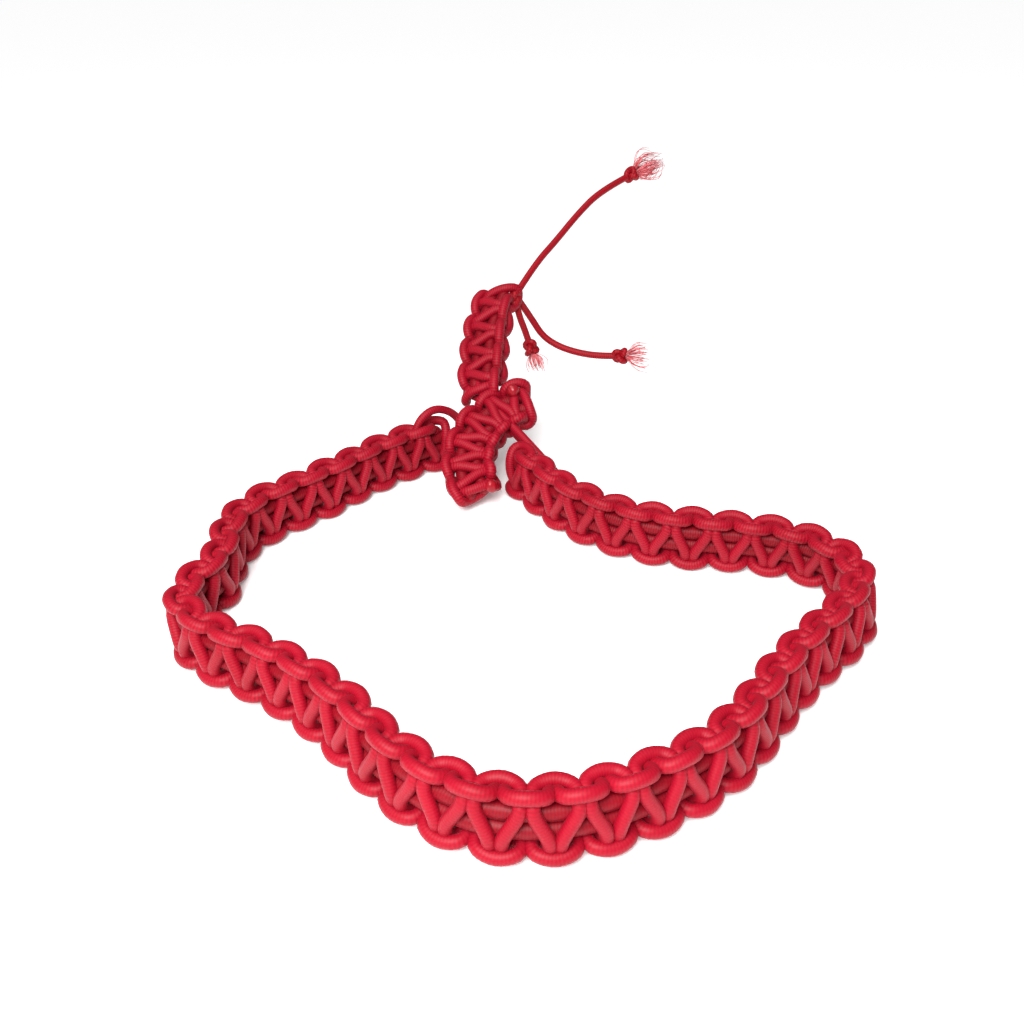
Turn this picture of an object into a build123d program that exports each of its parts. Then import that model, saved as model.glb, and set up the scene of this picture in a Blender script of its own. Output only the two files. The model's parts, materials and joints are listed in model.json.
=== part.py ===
from build123d import *
import math
import os

# Knotted wristband: one flat band of square knots tied over two core cords, standing on its narrow
# edge in a loose loop. Its left end finishes in an eye, and its bare core cords run on from the
# right end through a sliding knot to a short knotted tab with three tails.
# Millimetres, +Z up. Everything is drawn from a point on the floor in front of the band and is then
# moved so that the origin is the centre of the footprint.

# --- cord and weave -------------------------------------------------------------------------
CORD_DIAMETER = 1.2
CORE_SPACING = 1.3            # centre to centre of the two core cords
CORE_CLEARANCE = 0.05         # between a core cord and the knots around it
BAND_WIDTH = 8.2              # edge to edge, which is the height of the standing band
BAND_THICKNESS = 4.6
BAND_EDGE_ROUND = 1.1
SEAM_GAP = 0.1                # between the two working cords of a sinnet

# --- band route, seen from above, at mid height -----------------------------------------------
BAND_ROUTE = [
    (-13.2, 139.0),
    (-17.5, 136.0),
    (-22.0, 131.0),
    (-26.5, 125.5),
    (-31.5, 120.8),
    (-35.5, 116.0),
    (-36.3, 109.5),
    (-35.4, 104.0),
    (-37.7, 99.0),
    (-38.2, 94.3),
    (-34.2, 90.0),
    (-28.5, 86.9),
    (-22.5, 82.9),
    (-17.0, 77.7),
    (-12.5, 71.9),
    (-7.0, 67.0),
    (-1.0, 64.5),
    (5.0, 64.6),
    (11.0, 66.6),
    (17.5, 70.4),
    (22.3, 74.4),
    (26.2, 80.0),
    (31.7, 87.2),
    (37.3, 92.6),
    (41.2, 97.8),
    (41.6, 103.0),
    (38.8, 107.6),
    (33.4, 110.8),
    (27.0, 111.9),
    (20.0, 112.9),
    (13.8, 115.6),
    (8.5, 119.8),
    (4.9, 125.1),
    (2.2, 129.6),
]

# --- end loop (eye) at the left end of the band ------------------------------------------------
# (distance past the end of the band, height of the cord's centre)
EYE_ROUTE = [
    (0.65, 6.6),
    (1.5, 9.2),
    (4.3, 9.5),
    (7.3, 6.6),
    (7.6, 3.4),
    (5.0, 1.3),
    (0.1, 1.6),
]
EYE_BENDS = [1.2, 2.0, 2.0, 2.0, 2.0]

# --- bare core cords between the band and the tab ----------------------------------------------
CORE_EXIT_GAP = 0.45          # where the core cord kinks out of the band
CORE_EXIT_POINT = (6.8, 122.3)
BARE_CORNER = (7.7, 127.0, 3.9)
TAB_PIVOT = (-4.8, 142.5, 11.5)
BARE_BEND = 3.0
EXIT_CLEARANCE = 0.25         # round a bare cord where it leaves through the back of the band

# --- sliding knot --------------------------------------------------------------------------------
SLIDER_FACING = (0, -0.9, 0.436)  # way that its face looks before the tilt
SLIDER_TILT = 20.0            # degrees that its plane is turned about the bare cords
SLIDER_CENTRE_BACK = 15.5     # centre of its curve, measured back from the tab's pivot
SLIDER_RADIUS = 10.6          # of its middle line
SLIDER_START = 80.0           # degrees round the curve, lower end
SLIDER_END = -22.0            # degrees round the curve, upper end
SLIDER_WIDTH = 8.0
SLIDER_THICKNESS = 4.4
SLIDER_BORE_RADIUS = 1.5      # one round hole that turns freely round both bare cords
SLIDER_BORE_LENGTH = 40.0      # long enough to run out of both sides of its curve
MELTED_END_RADIUS = 1.0
MELTED_END_LENGTH = 1.6
MELTED_END_ROUND = 0.5

# --- tab ---------------------------------------------------------------------------------------
TAB_DIRECTION = (0.06, 0.885, 0.462)
TAB_ROLL = 23.0               # degrees that its right edge is raised
TAB_START = 2.6               # from the pivot to the first knot
TAB_LENGTH = 17.7
TAB_WIDTH = 7.4
TAB_THICKNESS = 4.2
TAB_CORE_START = 1.6          # from the pivot to the ends of the tab's core cords

# --- tails -------------------------------------------------------------------------------------
TAIL_DIAMETER = 1.1
TAIL_ROUTES = {
    "long_tail": [
        (0.3, 160.3, 22.0),
        (3.7, 164.7, 24.7),
        (7.3, 169.3, 27.2),
        (11.0, 173.8, 30.4),
        (15.0, 177.8, 33.3),
        (19.7, 181.5, 34.8),
    ],
    "side_tail": [
        (0.7, 158.8, 21.1),
        (3.1, 160.5, 17.0),
        (5.0, 160.4, 13.9),
        (7.6, 159.6, 12.4),
        (10.6, 158.6, 11.7),
        (14.1, 157.5, 11.5),
        (16.6, 156.8, 11.8),
    ],
    "short_tail": [
        (0.75, 157.4, 20.0),
        (1.3, 158.2, 17.9),
        (2.0, 158.6, 15.8),
        (2.7, 158.4, 13.7),
    ],
}
TAIL_KNOT_RADIUS = 1.45
TAIL_KNOT_REACH = 0.8         # share of its radius from the tail's end to its centre
TUFT_LENGTHS = {"long_tail": 5.2, "side_tail": 4.0, "short_tail": 3.2}
TUFT_ROOT_RADIUS = 0.5
TUFT_TIP_RADIUS = 1.7
BEND_SHARE = 0.45             # of the shorter run that a bend may use


def tube(path, diameter):
    """Round cord along a path."""
    start = Plane(origin=path @ 0, z_dir=path % 0)
    return sweep(start * Circle(diameter / 2), path=path)


def soft_radii(points):
    """Radius of the bend at each inner point: as large as its two runs allow."""
    corners = [Vector(*p) for p in points]
    radii = []
    for before, here, after in zip(corners, corners[1:], corners[2:]):
        turn = (here - before).get_angle(after - here)
        run = min((here - before).length, (after - here).length)
        radii.append(BEND_SHARE * run / math.tan(math.radians(turn / 2)))
    return radii


def soft_path(points, radii=None):
    """Straight runs joined by tangent arcs."""
    return FilletPolyline(*points, radius=radii or soft_radii(points))


def half_sinnet_profile(width, thickness, side):
    """Half of a sinnet's section, across (x) by along its width (y), grooved for the core cords."""
    outer = Pos(side * (thickness + SEAM_GAP) / 4, 0) * Rectangle((thickness - SEAM_GAP) / 2, width)
    rounded = outer.vertices().sort_by(Axis.X)
    far = rounded[-2:] if side > 0 else rounded[:2]
    half = fillet(far, BAND_EDGE_ROUND)
    for offset in (-CORE_SPACING / 2, CORE_SPACING / 2):
        half -= Pos(0, offset) * Circle(CORD_DIAMETER / 2 + CORE_CLEARANCE)
    return half


def lay_plane(point, along, width_axis):
    """Plane across a sinnet: y is its width, z runs along it."""
    z_dir = Vector(along).normalized()
    x_dir = Vector(width_axis).cross(z_dir)
    return Plane(origin=point, x_dir=x_dir, z_dir=z_dir)


# --- band --------------------------------------------------------------------------------------
mid_height = BAND_WIDTH / 2
band_points = [(x, y, mid_height) for x, y in BAND_ROUTE]
band_path = soft_path(band_points)
band_section = lay_plane(band_path @ 0, band_path % 0, (0, 0, 1))


def band_half(side):
    """One working cord's share of the band: a strip with its rolled edges, on the inside for side 1."""
    profile = band_section * half_sinnet_profile(BAND_WIDTH, BAND_THICKNESS, side)
    return sweep(profile, path=band_path)


band_bends = soft_radii(band_points)
route_before_exit = BAND_ROUTE[:-2]
exit_heading = (Vector(*CORE_EXIT_POINT) - Vector(*route_before_exit[-1])).normalized()


def core_in_band(height):
    """Core cord inside the band, from the eye to where it turns out through the back."""
    points = [(x, y, height) for x, y in route_before_exit + [CORE_EXIT_POINT]]
    return soft_path(points, band_bends[:len(points) - 2])


def bare_core_points(offset):
    """Bare core cord from inside the band to the tab's pivot, offset up (band) or off its plane."""
    start = Vector(*CORE_EXIT_POINT, mid_height + offset) + exit_heading * CORE_EXIT_GAP
    corner = Vector(*BARE_CORNER) + slider_normal * offset
    end = pivot + slider_normal * offset
    return [start, corner, end]


# --- frames of the slider and the tab ------------------------------------------------------------
pivot = Vector(*TAB_PIVOT)
bare_direction = (pivot - Vector(*BARE_CORNER)).normalized()
towards_front = Vector(*SLIDER_FACING)
facing = (towards_front - bare_direction * towards_front.dot(bare_direction)).normalized()
sideways = facing.cross(bare_direction)
tilt = math.radians(SLIDER_TILT)
slider_normal = facing * math.cos(tilt) - sideways * math.sin(tilt)
slider_down = sideways * math.cos(tilt) + facing * math.sin(tilt)
slider_centre = pivot - bare_direction * SLIDER_CENTRE_BACK
slider_plane = Plane(origin=slider_centre, x_dir=bare_direction, z_dir=slider_normal)

tab_along = Vector(*TAB_DIRECTION).normalized()
level = (Vector(1, 0, 0) - tab_along * tab_along.X).normalized()
tab_up = level.cross(tab_along)
roll = math.radians(TAB_ROLL)
tab_width_axis = level * math.cos(roll) + tab_up * math.sin(roll)
tab_normal = tab_up * math.cos(roll) - level * math.sin(roll)

parts = {}
parts["band_outer_cord"] = band_half(-1)
parts["band_inner_cord"] = band_half(1)

core_offset = CORE_SPACING / 2
for name, sign in (("upper", 1), ("lower", -1)):
    height = mid_height + sign * core_offset
    parts[f"core_cord_{name}"] = tube(core_in_band(height), CORD_DIAMETER)
    bare_points = bare_core_points(sign * core_offset)
    bare_path = FilletPolyline(*bare_points, radius=BARE_BEND)
    round_end = Pos(*bare_points[-1]) * Sphere(CORD_DIAMETER / 2)
    parts[f"bare_core_{name}"] = tube(bare_path, CORD_DIAMETER) + round_end
    passage = tube(bare_path, CORD_DIAMETER + 2 * EXIT_CLEARANCE)
    for side in ("outer", "inner"):
        parts[f"band_{side}_cord"] -= passage

# --- eye ------------------------------------------------------------------------------------------
end_point = Vector(*BAND_ROUTE[0], 0)
end_heading = (end_point - Vector(*BAND_ROUTE[1], 0)).normalized()
eye_points = []
for reach, height in EYE_ROUTE:
    spot = end_point + end_heading * reach
    eye_points.append((spot.X, spot.Y, height))
parts["end_loop"] = tube(soft_path(eye_points, EYE_BENDS), CORD_DIAMETER)

# --- sliding knot -----------------------------------------------------------------------------------
slider_path = slider_plane * CenterArc((0, 0), SLIDER_RADIUS, SLIDER_START, SLIDER_END - SLIDER_START)
slider_radial = (slider_path @ 0 - slider_centre).normalized()
slider_section = lay_plane(slider_path @ 0, slider_path % 0, slider_radial)
for name, side in (("face", -1), ("back", 1)):
    profile = half_sinnet_profile(SLIDER_WIDTH, SLIDER_THICKNESS, side)
    parts[f"slider_{name}_cord"] = sweep(slider_section * profile, path=slider_path)
bore = Plane(origin=slider_centre, z_dir=bare_direction) * Cylinder(
    SLIDER_BORE_RADIUS,
    SLIDER_BORE_LENGTH,
    align=(Align.CENTER, Align.CENTER, Align.CENTER),
)
for name in ("face", "back"):
    parts[f"slider_{name}_cord"] -= bore

for name, spot in (("lower", 0), ("upper", 1)):
    outward = (slider_path % spot) * (1 if spot else -1)
    seat = Plane(origin=slider_path @ spot, z_dir=outward)
    stub = seat * Cylinder(
        MELTED_END_RADIUS,
        MELTED_END_LENGTH,
        align=(Align.CENTER, Align.CENTER, Align.MIN),
    )
    rim = stub.edges().sort_by(Axis(seat.origin, outward))[-1:]
    parts[f"slider_melted_end_{name}"] = fillet(rim, MELTED_END_ROUND)

# --- tab --------------------------------------------------------------------------------------------
tab_begin = pivot + tab_along * TAB_START
tab_section = lay_plane(tab_begin, tab_along, tab_width_axis)
for name, side in (("face", 1), ("back", -1)):
    profile = tab_section * half_sinnet_profile(TAB_WIDTH, TAB_THICKNESS, side)
    parts[f"tab_{name}_cord"] = extrude(profile, TAB_LENGTH, dir=tab_along)
tab_core_length = TAB_START + TAB_LENGTH - TAB_CORE_START
for name, sign in (("left", -1), ("right", 1)):
    start = pivot + tab_along * TAB_CORE_START + tab_width_axis * (sign * core_offset)
    parts[f"tab_core_{name}"] = Plane(origin=start, z_dir=tab_along) * Cylinder(
        CORD_DIAMETER / 2,
        tab_core_length,
        align=(Align.CENTER, Align.CENTER, Align.MIN),
    )

# --- tails with their overhand knots and frayed tufts -------------------------------------------------
for name, points in TAIL_ROUTES.items():
    radii = soft_radii(points)
    print(name, "bend radii", [round(r, 1) for r in radii])
    path = soft_path(points, radii)
    tail = tube(path, TAIL_DIAMETER)
    section = math.pi * TAIL_DIAMETER ** 2 / 4
    print(name, "length", round(path.length, 1), "volume ratio", round(tail.volume / section / path.length, 3))
    parts[name] = tail
    outward = path % 1
    stub = Plane(origin=path @ 1, z_dir=outward)
    knot_centre = path @ 1 + outward * TAIL_KNOT_RADIUS * TAIL_KNOT_REACH
    ball = Pos(*knot_centre) * Sphere(TAIL_KNOT_RADIUS)
    parts[f"{name}_knot"] = ball - stub * Cylinder(
        TAIL_KNOT_RADIUS,
        TAIL_KNOT_RADIUS,
        align=(Align.CENTER, Align.CENTER, Align.MAX),
    )
    tuft = Plane(origin=knot_centre, z_dir=outward) * Cone(
        TUFT_ROOT_RADIUS,
        TUFT_TIP_RADIUS,
        TAIL_KNOT_RADIUS + TUFT_LENGTHS[name],
        align=(Align.CENTER, Align.CENTER, Align.MIN),
    )
    parts[f"{name}_tuft"] = tuft - ball

# --- move the origin to the centre of the footprint and write -------------------------------------------
held = [part for name, part in parts.items() if "tail" not in name]
box = held[0].bounding_box()
for part in held[1:]:
    box = box.add(part.bounding_box())
shift = Vector(-box.center().X, -box.center().Y, -box.min.Z)
print("shift", round(shift.X, 4), round(shift.Y, 4), round(shift.Z, 4))
print("size", [round(v, 2) for v in (box.size.X, box.size.Y, box.size.Z)])
print("band length", round(band_path.length, 1))
print("pivot", [round(v, 3) for v in (pivot + shift)], "bare", [round(v, 4) for v in bare_direction])
print("tab width axis", [round(v, 4) for v in tab_width_axis], "normal", [round(v, 4) for v in tab_normal])
print("slider normal", [round(v, 4) for v in slider_normal], "down", [round(v, 4) for v in slider_down])

os.makedirs("parts", exist_ok=True)
for name, part in parts.items():
    placed = Location(shift) * part
    export_step(placed, f"parts/{name}.step")
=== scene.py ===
import bpy
import json
import math
import random
import numpy as np
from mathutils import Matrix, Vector, noise


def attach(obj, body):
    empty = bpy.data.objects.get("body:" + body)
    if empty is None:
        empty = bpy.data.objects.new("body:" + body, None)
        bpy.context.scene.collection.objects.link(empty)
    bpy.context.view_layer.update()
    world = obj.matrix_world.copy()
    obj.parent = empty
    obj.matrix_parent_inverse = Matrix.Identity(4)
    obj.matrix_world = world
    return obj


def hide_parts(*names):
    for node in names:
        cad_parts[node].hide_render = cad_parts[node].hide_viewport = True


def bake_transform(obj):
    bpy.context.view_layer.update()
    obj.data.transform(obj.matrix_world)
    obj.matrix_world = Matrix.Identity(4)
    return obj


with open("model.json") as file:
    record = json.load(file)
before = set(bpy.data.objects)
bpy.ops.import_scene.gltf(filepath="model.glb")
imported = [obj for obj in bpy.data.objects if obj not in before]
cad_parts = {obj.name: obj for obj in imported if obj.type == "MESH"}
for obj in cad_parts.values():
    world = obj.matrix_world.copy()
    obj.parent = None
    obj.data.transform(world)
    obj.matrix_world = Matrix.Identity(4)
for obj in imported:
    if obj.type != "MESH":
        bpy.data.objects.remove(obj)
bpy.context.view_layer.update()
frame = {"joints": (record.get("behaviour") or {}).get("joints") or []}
scene = bpy.context.scene
bpy.ops.object.select_all(action="DESELECT")
tying = random.Random(44)
mm = 0.001

# --- Camera -----------------------------------------------------------------------------------
# Stands in front of the loop, 74 mm above the surface, and looks down across the band. Its lens
# is about 36 mm long, and everything is in focus.
CAMERA_SPOT = (-0.00172, -0.11211, 0.07446)
CAMERA_TILT = math.radians(59.516)
camera_data = bpy.data.cameras.new("camera")
camera_data.sensor_width = 36.0
camera_data.lens = 35.86
camera_data.clip_start = 0.005
camera = bpy.data.objects.new("camera", camera_data)
camera.location = CAMERA_SPOT
camera.rotation_euler = (CAMERA_TILT, 0.0, 0.0)
scene.collection.objects.link(camera)
scene.camera = camera

# --- Knotting cord ----------------------------------------------------------------------------
# 1.2 mm round nylon cord: a plaited cover over a soft core, dyed red. The cover's small stitches
# lie across the cord, so it looks finely ribbed. Pulled tight in a knot it spreads to 1.44 mm.
CORD = 1.44 * mm
BARE_CORD = 1.25 * mm
RIB_PITCH = 0.31 * mm
STITCHES_ROUND = 8            # stitches once round the cord in each rib
STITCH_HEIGHT = 0.28          # of the height of a rib
UV_UNIT = 1.0 * mm            # one unit of u is this much cord, one of v is once round it
TUBE_SIDES = 12
TUBE_STEP = 0.33              # from ring to ring of a tube, in diameters


def new_material(name, finish):
    """A new material and its node tree, with the shader's sockets set as finish says."""
    material = bpy.data.materials.new(name)
    material.use_nodes = True
    for socket, value in finish.items():
        material.node_tree.nodes["Principled BSDF"].inputs[socket].default_value = value
    return material, material.node_tree


def maths(tree, operation, *values):
    """The result of a Math node. Each value is a number or another node's output."""
    node = tree.nodes.new("ShaderNodeMath")
    node.operation = operation
    for socket, value in zip(node.inputs, values):
        if isinstance(value, float):
            socket.default_value = value
        else:
            tree.links.new(value, socket)
    return node.outputs["Value"]


def own_space(tree):
    """Where a point of the piece is, in the piece's own space."""
    return tree.nodes.new("ShaderNodeTexCoord").outputs["Object"]


def speckle(tree, scale, detail):
    """Noise from 0 to 1 through the piece's own space."""
    texture = tree.nodes.new("ShaderNodeTexNoise")
    texture.inputs["Scale"].default_value = scale
    texture.inputs["Detail"].default_value = detail
    tree.links.new(own_space(tree), texture.inputs["Vector"])
    return texture.outputs["Fac"]


def ranged(tree, value, source, target):
    """The value carried from the source range to the target range, and held inside it."""
    node = tree.nodes.new("ShaderNodeMapRange")
    for socket, limit in zip(("From Min", "From Max", "To Min", "To Max"), (*source, *target)):
        node.inputs[socket].default_value = limit
    tree.links.new(value, node.inputs["Value"])
    return node.outputs["Result"]


def dyed(tree, amount, low, high):
    """Colours the shader from low to high as the amount grows. Each is a position and its colour."""
    ramp = tree.nodes.new("ShaderNodeValToRGB")
    for stop, (position, colour) in zip(ramp.color_ramp.elements, (low, high)):
        stop.position = position
        stop.color = (*colour, 1.0)
    tree.links.new(amount, ramp.inputs["Fac"])
    tree.links.new(ramp.outputs["Color"], tree.nodes["Principled BSDF"].inputs["Base Color"])


def embossed(tree, height, depth):
    """Raises the shader's surface by the height, depth metres for one unit of it."""
    bump = tree.nodes.new("ShaderNodeBump")
    bump.inputs["Distance"].default_value = depth
    tree.links.new(height, bump.inputs["Height"])
    tree.links.new(bump.outputs["Normal"], tree.nodes["Principled BSDF"].inputs["Normal"])


# deep is the colour of the painted shade in the rib grooves, bright that of the painted highlight on each
# rib's crown
def ribbed_cord_material(name, deep, bright, rib_depth):
    """Red cord: the ribs, the plait and their painted shade follow the piece's UV map, the uneven dyeing
    and the wear its own space.
    """
    material, tree = new_material(name, {
        "Roughness": 0.5,
        "Specular IOR Level": 0.15,
        "Sheen Weight": 0.03,
        "Sheen Roughness": 0.35,
        "Sheen Tint": (1.0, 0.45, 0.5, 1.0),
        "Subsurface Weight": 0.05,
        "Subsurface Radius": (0.001, 0.0002, 0.0002),
        "Subsurface Scale": 0.35,
    })
    uv = tree.nodes.new("ShaderNodeUVMap")
    uv.uv_map = "cord"
    on_cord = tree.nodes.new("ShaderNodeSeparateXYZ")
    tree.links.new(uv.outputs["UV"], on_cord.inputs["Vector"])
    along, around = on_cord.outputs["X"], on_cord.outputs["Y"]
    ribs_per_unit = UV_UNIT / RIB_PITCH

    # ribs: a sine along the cord, slanted round it and wandering slightly
    wander = maths(tree, "MULTIPLY", speckle(tree, 900.0, 1.0), 2.2)
    slant = maths(tree, "MULTIPLY_ADD", around, 2 * math.pi, wander)
    ribs = maths(tree, "SINE", maths(tree, "MULTIPLY_ADD", along, 2 * math.pi * ribs_per_unit, slant))

    # plait: each rib is split round the cord into short stitches
    split = maths(tree, "MULTIPLY", around, 2 * math.pi * STITCHES_ROUND)
    stitches = maths(tree, "SINE", maths(tree, "MULTIPLY_ADD", along, math.pi * ribs_per_unit, split))
    plait = maths(tree, "MULTIPLY_ADD", stitches, STITCH_HEIGHT, ribs)

    # wear: the cover is rubbed smoother at the front of the loop than at the closure
    spot = tree.nodes.new("ShaderNodeSeparateXYZ")
    tree.links.new(own_space(tree), spot.inputs["Vector"])
    wear = ranged(tree, spot.outputs["Y"], (-0.045, 0.02), (0.4, 1.4))
    cover = maths(tree, "MULTIPLY", plait, wear)

    # colour: painted shade in the grooves and a painted highlight on each rib's crown, plus uneven dyeing
    # along the band
    painted_rib_shading = ranged(tree, cover, (-1.1, 1.1), (0.0, 0.75))
    dye_and_rib_shading = maths(tree, "MULTIPLY_ADD", speckle(tree, 120.0, 3.0), 0.5, painted_rib_shading)
    dyed(tree, dye_and_rib_shading, (0.12, deep), (1.0, bright))
    embossed(tree, cover, rib_depth)
    return material


knotting_cord = ribbed_cord_material(
    "knotting_cord", deep=(0.155, 0.0005, 0.004), bright=(0.315, 0.0035, 0.017), rib_depth=0.000008
)


def spline_line(points, resolution=12):
    """The smooth line of a cord: a NURBS spline through its route's control points, read as points."""
    curve = bpy.data.curves.new("route", "CURVE")
    curve.dimensions = "3D"
    curve.resolution_u = resolution
    spline = curve.splines.new("NURBS")
    spline.points.add(len(points) - 1)
    for knot, point in zip(spline.points, points):
        knot.co = (*point, 1.0)
    spline.order_u = 3
    spline.use_endpoint_u = True
    route = bpy.data.objects.new("route", curve)
    scene.collection.objects.link(route)
    bpy.context.view_layer.update()
    mesh = bpy.data.meshes.new_from_object(route)
    line = [v.co.copy() for v in mesh.vertices]
    bpy.data.meshes.remove(mesh)
    bpy.data.objects.remove(route)
    bpy.data.curves.remove(curve)
    return line


def distances(line):
    """How far along the line each of its points is."""
    steps = [0.0]
    for here, after in zip(line, line[1:]):
        steps.append(steps[-1] + (after - here).length)
    return steps


def evened(line, step):
    """The same line with its points about one step apart."""
    gone = distances(line)
    count = max(2, round(gone[-1] / step) + 1)
    stations = np.linspace(0.0, gone[-1], count)
    columns = [np.interp(stations, gone, [p[i] for p in line]) for i in range(3)]
    return [Vector(p) for p in zip(*columns)]


def cord_tube(name, line, diameter, material, dome=0.9):
    """Round cord along a line, u along it and v round it, with ends domed by dome of its radius."""
    sides = TUBE_SIDES
    line = evened(line, diameter * TUBE_STEP)
    gone = distances(line)
    tangents = []
    for i in range(len(line)):
        tangents.append((line[min(i + 1, len(line) - 1)] - line[max(i - 1, 0)]).normalized())
    side = tangents[0].orthogonal().normalized()
    rings = []
    for here, tangent, reach in zip(line, tangents, gone):
        side = (side - tangent * side.dot(tangent)).normalized()
        rings.append((here, side.copy(), tangent.cross(side), reach, diameter / 2))
    for end, outward in ((0, -1), (-1, 1)):
        here, across, up, reach, radius = rings[end]
        domes = []
        for turn in (30.0, 60.0, 85.0):
            bulge = outward * radius * dome * math.sin(math.radians(turn))
            centre = here + tangents[end] * bulge
            domes.append((centre, across, up, reach + bulge, radius * math.cos(math.radians(turn))))
        rings = domes[::-1] + rings if end == 0 else rings + domes
    verts, faces, corners = [], [], []
    for centre, across, up, reach, radius in rings:
        for k in range(sides):
            angle = 2 * math.pi * k / sides
            verts.append(centre + (across * math.cos(angle) + up * math.sin(angle)) * radius)
    for i in range(len(rings) - 1):
        u0, u1 = rings[i][3] / UV_UNIT, rings[i + 1][3] / UV_UNIT
        for k in range(sides):
            after = (k + 1) % sides
            here, ahead = i * sides, (i + 1) * sides
            faces.append((here + k, here + after, ahead + after, ahead + k))
            v0, v1 = k / sides, (k + 1) / sides
            corners += [(u0, v0), (u0, v1), (u1, v1), (u1, v0)]
    last = (len(rings) - 1) * sides
    faces.append(tuple(range(sides - 1, -1, -1)))
    corners += [(rings[0][3] / UV_UNIT, k / sides) for k in range(sides - 1, -1, -1)]
    faces.append(tuple(range(last, last + sides)))
    corners += [(rings[-1][3] / UV_UNIT, k / sides) for k in range(sides)]
    mesh = bpy.data.meshes.new(name)
    mesh.from_pydata(verts, [], faces)
    layer = mesh.uv_layers.new(name="cord")
    layer.data.foreach_set("uv", np.array(corners, dtype=np.float32).ravel())
    mesh.shade_smooth()
    mesh.materials.append(material)
    piece = bpy.data.objects.new(name, mesh)
    scene.collection.objects.link(piece)
    return piece


# --- Square knots -----------------------------------------------------------------------------
# Each sinnet is two working cords tied round two core cords. One cord crosses only on the face and
# the other only on the back. Where a cord turns at an edge it goes round to the other side and
# clamps two crossings of the other cord, which is why each edge shows a row of loops.
CORE = 1.9 * mm               # a core cord, as thick as it is inside the knots
DRAWN_PITCH = 2.5 * mm        # the pitch that the two shapes below are drawn for
UNEVEN = 0.07                 # most that hand tying moves a point, in mm

# One turn at an edge: (along the sinnet, out to the edge, towards the side of its crossings), mm.
EDGE_TURN = [
    (-1.92, 1.20, 1.16),
    (-2.02, 2.05, 1.02),
    (-2.08, 2.65, 0.50),
    (-2.05, 2.95, -0.35),
    (-1.60, 3.08, -1.05),
    (0.00, 3.38, -1.42),
    (1.60, 3.08, -1.05),
    (2.05, 2.95, -0.35),
    (2.08, 2.65, 0.50),
    (2.02, 2.05, 1.02),
    (1.92, 1.20, 1.16),
]

# How each end of a working cord is laid over the end of its sinnet and tucked in, same directions.
END_WRAP = [
    (-0.2, -2.2, 0.1),
    (-0.9, -1.9, 0.7),
    (-1.35, -0.4, 1.0),
    (-1.6, 1.4, 0.9),
    (-1.9, 2.5, 0.3),
]


def working_cord(place, turns, pitch, face, first_edge, narrow=1.0):
    """Control points of one working cord: it turns at each edge by turns, from first_edge on."""
    stretch = pitch / DRAWN_PITCH
    points = []
    for ahead, across, out in END_WRAP:
        points.append(place(ahead * stretch * mm, first_edge * across * narrow * mm, face * out * mm))
    for k in range(turns):
        edge = first_edge if k % 2 == 0 else -first_edge
        nudge = tying.uniform(-UNEVEN, UNEVEN)
        fullness = tying.uniform(0.97, 1.03)
        # the wraps take the place of the first turn's start and of the last turn's end
        first = 3 if k == 0 else 0
        last = 8 if k == turns - 1 else len(EDGE_TURN)
        for ahead, across, out in EDGE_TURN[first:last]:
            reach = k * pitch + (ahead + nudge) * stretch * mm
            width = edge * across * narrow * fullness * mm
            height = face * (out + tying.uniform(-UNEVEN, UNEVEN) * 0.5) * mm
            points.append(place(reach, width, height))
    for ahead, across, out in END_WRAP[::-1]:
        reach = (turns - 1) * pitch - ahead * stretch * mm
        points.append(place(reach, edge * across * narrow * mm, face * out * mm))
    return points


# the cord deep inside the knots: the same cord, painted a darker red than what shows on the outside as
# painted shade
core_cord = ribbed_cord_material(
    "core_cord", deep=(0.10, 0.0003, 0.003), bright=(0.22, 0.0018, 0.009), rib_depth=0.000008
)


def core_tube(name, place, across, start, end, stations):
    """A core cord inside a sinnet, across of its own thickness from the middle, from start to end."""
    line = [place(reach, across * CORE, 0.0) for reach in np.linspace(start, end, stations)]
    return cord_tube(name, line, CORE, core_cord)


# --- Band -------------------------------------------------------------------------------------
# The wristband itself: about 43 square knots in one flat sinnet, 8 mm wide, set on its edge in a
# loose loop. The front leans a little inwards, and the back stands upright.
BAND_ROUTE = [
    (-0.0149, 0.0269), (-0.0192, 0.0239), (-0.0237, 0.0189), (-0.0282, 0.0134),
    (-0.0332, 0.0087), (-0.0372, 0.0039), (-0.0380, -0.0026), (-0.0371, -0.0081),
    (-0.0394, -0.0131), (-0.0399, -0.0178), (-0.0359, -0.0221), (-0.0302, -0.0252),
    (-0.0242, -0.0292), (-0.0187, -0.0344), (-0.0142, -0.0402), (-0.0087, -0.0451),
    (-0.0027, -0.0476), (0.0033, -0.0475), (0.0093, -0.0455), (0.0158, -0.0417),
    (0.0206, -0.0377), (0.0245, -0.0321), (0.0300, -0.0249), (0.0356, -0.0195),
    (0.0395, -0.0143), (0.0399, -0.0091), (0.0371, -0.0045), (0.0317, -0.0013),
    (0.0253, -0.0002), (0.0183, 0.0008), (0.0121, 0.0035), (0.0068, 0.0077),
    (0.0032, 0.0130), (0.0005, 0.0175), (-0.0017, 0.0214),
]
LEAN_STATIONS = [0.0, 0.055, 0.075, 0.110, 0.145, 0.165, 0.180, 0.195]
LEAN_DEGREES = [0.0, 2.0, 9.0, 9.0, 10.0, 13.0, 5.0, 0.0]
BAND_TURNS = 87
BAND_START = -1.6 * mm        # the first turn, from the start of the route
BAND_SPARE = 1.0 * mm         # length of the route that the turns don't share out
BAND_CLEAR = 0.65 * mm        # from the surface to the lower edge of the half width below
BAND_HALF_WIDTH = 3.55 * mm
BAND_HALF_THICKNESS = 1.8 * mm
BAND_CORE_PAST = 1.2 * mm     # how far the cores run past the first and last turns
PROBE = 0.3 * mm              # each side of a point, to read the route's heading
band_line = spline_line([(x, y, 0.0) for x, y in BAND_ROUTE])
band_reach = distances(band_line)
band_pitch = (band_reach[-1] - BAND_SPARE) / (BAND_TURNS - 1)


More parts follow.
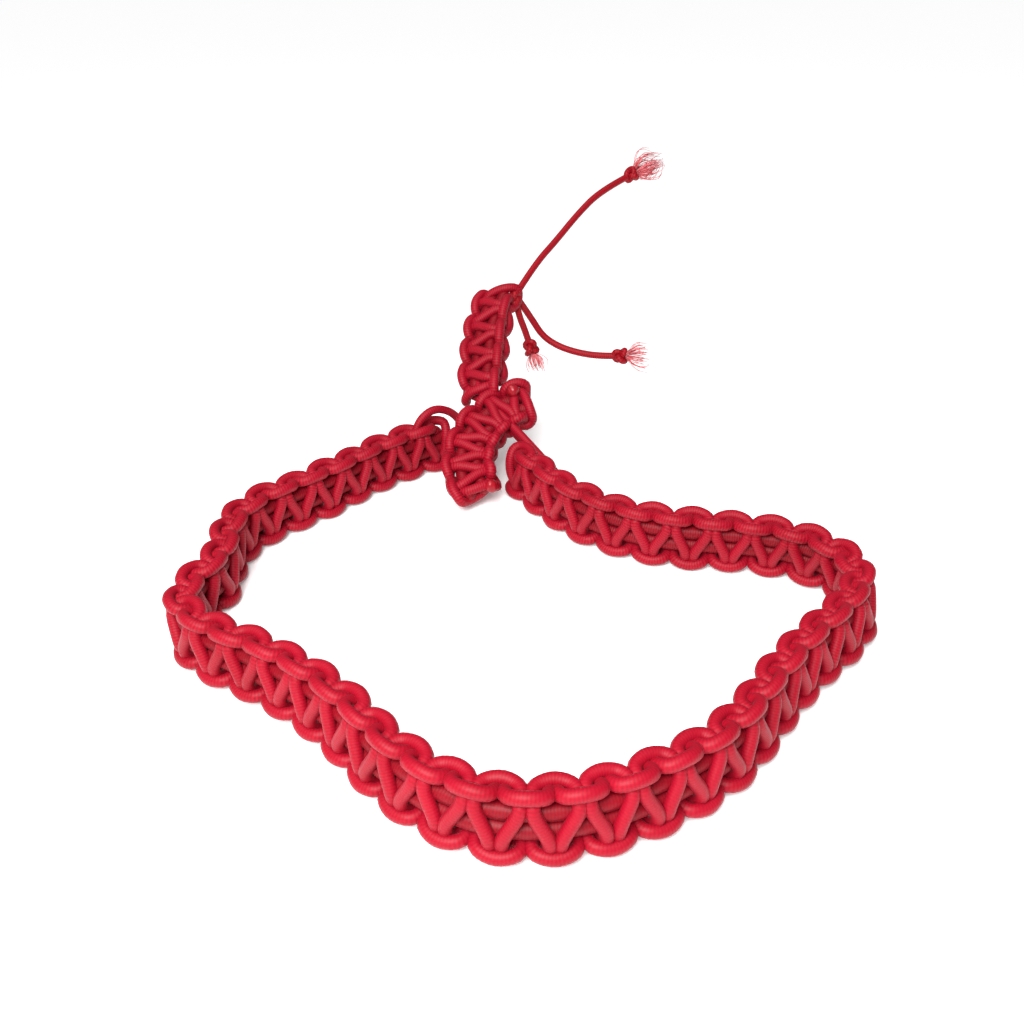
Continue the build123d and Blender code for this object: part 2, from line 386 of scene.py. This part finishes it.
def band_place(reach, width, height):
    """A point of the band from its distance along it, up its width and out from its face."""
    inside = min(max(reach, PROBE), band_reach[-1] - PROBE)
    spot = []
    for s in (inside, inside - PROBE, inside + PROBE):
        spot.append(Vector([np.interp(s, band_reach, [p[i] for p in band_line]) for i in range(3)]))
    heading = (spot[2] - spot[1]).normalized()
    spill = reach - inside
    lean = math.radians(np.interp(reach, LEAN_STATIONS, LEAN_DEGREES))
    outward = heading.cross(Vector((0, 0, 1)))
    upward = Vector((0, 0, 1)) * math.cos(lean) - outward * math.sin(lean)
    face = outward * math.cos(lean) + Vector((0, 0, 1)) * math.sin(lean)
    middle = BAND_CLEAR + BAND_HALF_WIDTH * math.cos(lean) + BAND_HALF_THICKNESS * math.sin(lean)
    return spot[0] + heading * spill + Vector((0, 0, middle)) + upward * width + face * height


def band_knots(reach, width, height):
    """The same, with the first knot BAND_START past the start of the route."""
    return band_place(reach + BAND_START, width, height)


for name, node, face, first_edge in (
    ("band_face_cord", "band_outer_cord", 1, -1),
    ("band_back_cord", "band_inner_cord", -1, 1),
):
    points = working_cord(band_knots, BAND_TURNS, band_pitch, face, first_edge)
    cord = cord_tube(name, spline_line(points, resolution=4), CORD, knotting_cord)
    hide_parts(node)
    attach(cord, "band")

for name, node, across in (
    ("band_core_upper", "core_cord_upper", 0.5),
    ("band_core_lower", "core_cord_lower", -0.5),
):
    last_turn = band_pitch * (BAND_TURNS - 1)
    core = core_tube(name, band_knots, across, -BAND_CORE_PAST, last_turn + BAND_CORE_PAST, 150)
    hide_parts(node)
    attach(core, "band")

# --- End eye ----------------------------------------------------------------------------------
# At the left end the core cords turn back on themselves, which leaves one round eye of cord that
# stands up past the last knot. Its feet are buried in the knots.
# The route of the eye: (past the band's end, above the surface), mm.
EYE_ROUTE = [
    (-4.2, 4.8), (-1.8, 6.6), (-0.8, 9.0), (2.0, 10.2), (5.4, 8.4),
    (7.0, 5.2), (5.8, 2.0), (2.6, 0.8), (-0.8, 1.2), (-3.4, 2.4),
]
BAND_MIDDLE = 4.2             # mm above the surface, where the band stands upright
eye_points = []
for past, above in EYE_ROUTE:
    eye_points.append(band_place(-past * mm, 0.0, 0.0) + Vector((0, 0, (above - BAND_MIDDLE) * mm)))
eye = cord_tube("eye_cord", spline_line(eye_points), BARE_CORD, knotting_cord)
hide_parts("end_loop")
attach(eye, "band")

# --- Bare core cords --------------------------------------------------------------------------
# The band's two core cords leave its right end bare, run through the sliding knot and go on as the
# cores of the tab, with a bend at the tab's pivot.
joints = {joint["name"]: joint for joint in frame["joints"]}
PIVOT = Vector(joints["tab_swing"]["pos_m"])
TAB_WIDTH_AXIS = Vector(joints["tab_swing"]["axis"]).normalized()
BARE = Vector(joints["slider_turn"]["axis"]).normalized()
SLIDER_FACE = Vector((-0.0656, -0.4814, 0.874)).normalized()
TAB_ALONG = Vector((0.06, 0.885, 0.462)).normalized()
CORE_SPACING = 1.3 * mm
for node, side in (("bare_core_upper", 1), ("bare_core_lower", -1)):
    offset = side * CORE_SPACING / 2
    points = [
        Vector((0.0062, 0.0086, 0.0041 + offset)),
        Vector((0.0051, 0.0102, 0.0041 + offset)),
        Vector((0.0060, 0.0149, 0.0039)) + SLIDER_FACE * offset,
        PIVOT - BARE * 16.0 * mm + SLIDER_FACE * offset,
        PIVOT - BARE * 8.0 * mm + SLIDER_FACE * offset,
        PIVOT + SLIDER_FACE * offset * 0.7 - TAB_WIDTH_AXIS * offset * 0.5,
        PIVOT + TAB_ALONG * 4.0 * mm - TAB_WIDTH_AXIS * offset,
        PIVOT + TAB_ALONG * 6.0 * mm - TAB_WIDTH_AXIS * offset,
    ]
    core = cord_tube(f"{node}_run", spline_line(points), BARE_CORD, knotting_cord)
    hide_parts(node)
    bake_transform(core)

# --- Sliding knot -----------------------------------------------------------------------------
# A short sinnet of the same cord tied round both bare cores, curled into a C over two short cores
# of its own. Its two working ends are cut off and melted into hard beads. It turns on the bare
# cores with friction.
SLIDER_DOWN = Vector((-0.8073, -0.4892, -0.33)).normalized()
SLIDER_CENTRE = PIVOT - BARE * 15.5 * mm
SLIDER_RADIUS = 10.6 * mm
SLIDER_TURNS = 11
SLIDER_NARROW = 0.97
SLIDER_ENDS = (math.radians(80.0), math.radians(-22.0))
SLIDER_FIRST_TURN = 0.3       # from the first end, in pitches
SLIDER_CORE_PAST = (0.9 * mm, 1.0 * mm)
BEAD_RADIUS = 0.95 * mm
slider_pitch = SLIDER_RADIUS * (SLIDER_ENDS[0] - SLIDER_ENDS[1]) / (SLIDER_TURNS - 0.4)


def slider_place(reach, width, height):
    """A point of the sliding knot from its distance round the curl, outwards and out from its face."""
    angle = SLIDER_ENDS[0] - (reach + SLIDER_FIRST_TURN * slider_pitch) / SLIDER_RADIUS
    outward = BARE * math.cos(angle) + SLIDER_DOWN * math.sin(angle)
    return SLIDER_CENTRE + outward * (SLIDER_RADIUS + width) + SLIDER_FACE * height


for name, node, face, first_edge in (
    ("slider_front_cord", "slider_face_cord", 1, -1),
    ("slider_rear_cord", "slider_back_cord", -1, 1),
):
    points = working_cord(slider_place, SLIDER_TURNS, slider_pitch, face, first_edge, SLIDER_NARROW)
    cord = cord_tube(name, spline_line(points, resolution=4), CORD, knotting_cord)
    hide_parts(node)
    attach(cord, "slider")

for name, across in (("slider_core_outer", 0.58), ("slider_core_inner", -0.58)):
    last_turn = slider_pitch * (SLIDER_TURNS - 1)
    core = core_tube(name, slider_place, across, -SLIDER_CORE_PAST[0], last_turn + SLIDER_CORE_PAST[1], 24)
    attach(core, "slider")

melted_cord, melt = new_material("melted_cord", {
    "Roughness": 0.32,
    "Specular IOR Level": 0.3,
    "Coat Weight": 0.08,
    "Coat Roughness": 0.2,
})
scorch = speckle(melt, 1400.0, 3.0)
dyed(melt, scorch, (0.0, (0.13, 0.001, 0.004)), (1.0, (0.36, 0.006, 0.016)))
embossed(melt, scorch, 0.00006)

# Each bead: (angle round the curl, mm out from the curl's middle line, mm out from its face).
for name, node, angle, sideways, out in (
    ("slider_bead_lower", "slider_melted_end_lower", 87.0, -2.0, 0.8),
    ("slider_bead_upper", "slider_melted_end_upper", -16.0, 1.3, 2.0),
):
    turn = math.radians(angle)
    outward = BARE * math.cos(turn) + SLIDER_DOWN * math.sin(turn)
    spot = SLIDER_CENTRE + outward * (SLIDER_RADIUS + sideways * mm) + SLIDER_FACE * out * mm
    bpy.ops.mesh.primitive_uv_sphere_add(segments=24, ring_count=16, radius=BEAD_RADIUS, location=spot)
    bead = bpy.context.object
    bead.name = name
    bpy.ops.object.transform_apply(location=True, rotation=True, scale=True)
    for vertex in bead.data.vertices:
        ray = vertex.co - spot
        vertex.co = spot + ray * (1.0 + 0.22 * noise.noise(vertex.co * 900.0))
    bead.data.shade_smooth()
    bead.data.materials.append(melted_cord)
    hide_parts(node)
    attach(bead, "slider")
    bead.select_set(False)

# --- Tab --------------------------------------------------------------------------------------
# The tab is what the fingers pull: eight half knots over the ends of the core cords, rising away
# behind the sliding knot and curving a little to the right at its tip.
TAB_FACE = Vector((-0.39, -0.4052, 0.8269)).normalized()
TAB_TURNS = 8
TAB_LENGTH = 18.1 * mm
TAB_NARROW = 0.9
TAB_START = 1.3 * mm          # the first turn, from the pivot
TAB_CORE_START = 0.5 * mm
TAB_CORE_PAST = 1.0 * mm      # how far the cores run past the last turn
TIP_CURVE = 1.6 * mm          # how far the tip leans sideways
STRAIGHT = 9.0 * mm           # the length of the tab before it starts to curve
tab_pitch = TAB_LENGTH / (TAB_TURNS - 0.6)


def tab_place(reach, width, height):
    """A point of the tab from its distance along it, across its width and out from its face."""
    curve = TIP_CURVE * max(0.0, (reach - STRAIGHT) / STRAIGHT) ** 2
    forward = PIVOT + TAB_ALONG * (TAB_START + reach)
    return forward + TAB_WIDTH_AXIS * (width + curve) + TAB_FACE * height


for name, node, face, first_edge in (
    ("tab_front_cord", "tab_face_cord", 1, -1),
    ("tab_rear_cord", "tab_back_cord", -1, 1),
):
    points = working_cord(tab_place, TAB_TURNS, tab_pitch, face, first_edge, TAB_NARROW)
    cord = cord_tube(name, spline_line(points, resolution=4), CORD, knotting_cord)
    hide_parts(node)
    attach(cord, "tab")

for name, node, across in (("tab_core_a", "tab_core_left", -0.5), ("tab_core_b", "tab_core_right", 0.5)):
    last_turn = tab_pitch * (TAB_TURNS - 1)
    core = core_tube(name, tab_place, across, TAB_CORE_START, last_turn + TAB_CORE_PAST, 12)
    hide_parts(node)
    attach(core, "tab")

# --- Tails ------------------------------------------------------------------------------------
# Three spare cord ends leave the tip of the tab. Each is pulled smooth, tied off in an overhand
# knot and left to fray. They are stiff enough to keep the curve they were left in.
TAIL = 1.1 * mm
TIGHT = 0.86                  # a tail is pulled this much thinner in its knot
KNOT_RADIUS = 1.45 * mm
ROOT_KNOT_RADIUS = 1.3 * mm
KNOT_PAST = 1.16 * mm         # a knot's middle, from the end of the tail's route
TUFT_PAST = 0.7 * mm          # a tuft's root, from the middle of its knot
FIBRE = 0.16 * mm
FIBRE_STEPS = 7
KNOT_STEPS = 60
TAIL_ROUTES = {
    "long_tail": [
        (-0.0012, 0.0470, 0.0212), (0.0020, 0.0522, 0.0247), (0.0056, 0.0572, 0.0272),
        (0.0093, 0.0617, 0.0304), (0.0133, 0.0657, 0.0333), (0.0180, 0.0694, 0.0348),
    ],
    "side_tail": [
        (-0.0010, 0.0467, 0.0211), (0.0014, 0.0484, 0.0170), (0.0033, 0.0483, 0.0139),
        (0.0059, 0.0475, 0.0124), (0.0089, 0.0465, 0.0117), (0.0124, 0.0454, 0.0115),
        (0.0149, 0.0447, 0.0118),
    ],
    "short_tail": [
        (-0.0012, 0.0464, 0.0208), (-0.0006, 0.0461, 0.0182), (0.0003, 0.0465, 0.0158),
        (0.0010, 0.0463, 0.0137),
    ],
}
tail_cord = ribbed_cord_material(
    "tail_cord", deep=(0.15, 0.0006, 0.003), bright=(0.30, 0.003, 0.010), rib_depth=0.000006
)

frayed_fibre, fray = new_material("frayed_fibre", {
    "Roughness": 0.45,
    "Sheen Weight": 0.4,
    "Transmission Weight": 0.15,
})
dyed(fray, speckle(fray, 700.0, 2.0), (0.3, (0.50, 0.01, 0.025)), (0.75, (0.80, 0.14, 0.16)))


def overhand_knot(name, centre, along, radius):
    """Tight overhand knot: the cord crosses itself three times round the line it hangs on."""
    side = along.orthogonal().normalized()
    up = along.cross(side)
    line = []
    for k in range(KNOT_STEPS + 1):
        t = 2 * math.pi * k / KNOT_STEPS
        across = (math.sin(t) + 2 * math.sin(2 * t)) / 3
        over = (math.cos(t) - 2 * math.cos(2 * t)) / 3
        deep = -math.sin(3 * t)
        flat = side * across + along * over * 0.95
        line.append(centre + flat * radius * 0.78 + up * deep * radius * 0.42)
    return cord_tube(name, line, TAIL * TIGHT, tail_cord, dome=0.3)


def fibre_tuft(name, root, along, length, spread, count, gather):
    """Frayed end: loose fibres that fan out from the knot, each a thin tapering thread."""
    side = along.orthogonal().normalized()
    up = along.cross(side)
    verts, faces = [], []
    for _ in range(count):
        turn = tying.uniform(0, 2 * math.pi)
        lean = tying.uniform(0.15, 1.0) * spread
        reach = length * tying.uniform(0.65, 1.0)
        curl = tying.uniform(0.4, 1.0) * gather
        outward = side * math.cos(turn) + up * math.sin(turn)
        stray = (side * tying.uniform(-1, 1) + up * tying.uniform(-1, 1)) * 0.12
        across = outward.cross(along).normalized()
        start = len(verts)
        for i in range(FIBRE_STEPS + 1):
            t = i / FIBRE_STEPS
            bow = math.sin(min(t * 1.25, 1.0) * math.pi / 2) - curl * t * t
            forward = along * (reach * t * (1 - 0.12 * lean))
            centre = root + forward + (outward * lean * bow + stray * t * t) * reach
            width = FIBRE * (1 - 0.55 * t) / 2
            for corner in range(4):
                angle = math.pi / 2 * corner
                verts.append(centre + (across * math.cos(angle) + outward * math.sin(angle)) * width)
        for i in range(FIBRE_STEPS):
            for corner in range(4):
                a, b = start + i * 4 + corner, start + i * 4 + (corner + 1) % 4
                faces.append((a, b, b + 4, a + 4))
        faces.append((start + 3, start + 2, start + 1, start))
        end = start + FIBRE_STEPS * 4
        faces.append((end, end + 1, end + 2, end + 3))
    mesh = bpy.data.meshes.new(name)
    mesh.from_pydata(verts, [], faces)
    mesh.shade_smooth()
    mesh.materials.append(frayed_fibre)
    tuft = bpy.data.objects.new(name, mesh)
    scene.collection.objects.link(tuft)
    return tuft


root_spot = Vector((-0.0014, 0.0464, 0.0209))
root_knot = overhand_knot("tail_root_knot", root_spot, TAB_ALONG, ROOT_KNOT_RADIUS)
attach(root_knot, "tab")

# Each tuft: (length in mm, spread, number of fibres, how far their tips gather in again).
TUFTS = {
    "long_tail": (7.0, 0.72, 90, 0.85),
    "side_tail": (4.4, 0.85, 55, 0.1),
    "short_tail": (3.6, 0.75, 45, 0.3),
}
for name, route in TAIL_ROUTES.items():
    line = spline_line(route)
    tail = cord_tube(f"{name}_cord", line, TAIL, tail_cord)
    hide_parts(name)
    outward = (line[-1] - line[-2]).normalized()
    knot_centre = line[-1] + outward * KNOT_PAST
    knot = overhand_knot(f"{name}_overhand", knot_centre, outward, KNOT_RADIUS)
    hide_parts(f"{name}_knot")
    length, spread, count, gather = TUFTS[name]
    tuft_root = knot_centre + outward * TUFT_PAST
    tuft = fibre_tuft(f"{name}_fibres", tuft_root, outward, length * mm, spread, count, gather)
    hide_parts(f"{name}_tuft")
    for piece in (tail, knot, tuft):
        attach(piece, "tab")

# --- Surface and light ------------------------------------------------------------------------
# A plain white table that glows a little, a small softbox above the camera and to its left, and a
# broad light from overhead. The surroundings are a dim, even white.
bpy.ops.mesh.primitive_plane_add(size=3.0, location=(0, 0, 0))
table = bpy.context.object
table.name = "table"
table.select_set(False)
white, _ = new_material("white_table", {
    "Base Color": (0.96, 0.96, 0.96, 1.0),
    "Roughness": 0.9,
    "Emission Color": (1.0, 1.0, 1.0, 1.0),
    "Emission Strength": 0.16,
})
table.data.materials.append(white)

world = bpy.data.worlds.new("studio")
world.use_nodes = True
world.node_tree.nodes["Background"].inputs["Color"].default_value = (1.0, 1.0, 1.0, 1.0)
world.node_tree.nodes["Background"].inputs["Strength"].default_value = 0.2
scene.world = world


def studio_light(name, kind, energy):
    """A new light of that kind and power."""
    lamp = bpy.data.objects.new(name, bpy.data.lights.new(name, kind))
    lamp.data.energy = energy
    scene.collection.objects.link(lamp)
    return lamp


KEY_SPOT = Vector((-0.04, -0.145, 0.14))
KEY_AIM = Vector((0.0, -0.04, 0.0))
key_light = studio_light("key_light", "AREA", 0.78)
key_light.data.size = 0.10
key_light.location = KEY_SPOT
key_light.rotation_euler = (KEY_AIM - KEY_SPOT).to_track_quat("-Z", "Y").to_euler()
top_light = studio_light("top_light", "SUN", 2.2)
top_light.data.angle = math.radians(50.0)
top_light.rotation_euler = (math.radians(8.0), math.radians(-12.0), 0.0)
scene.view_settings.view_transform = "Standard"
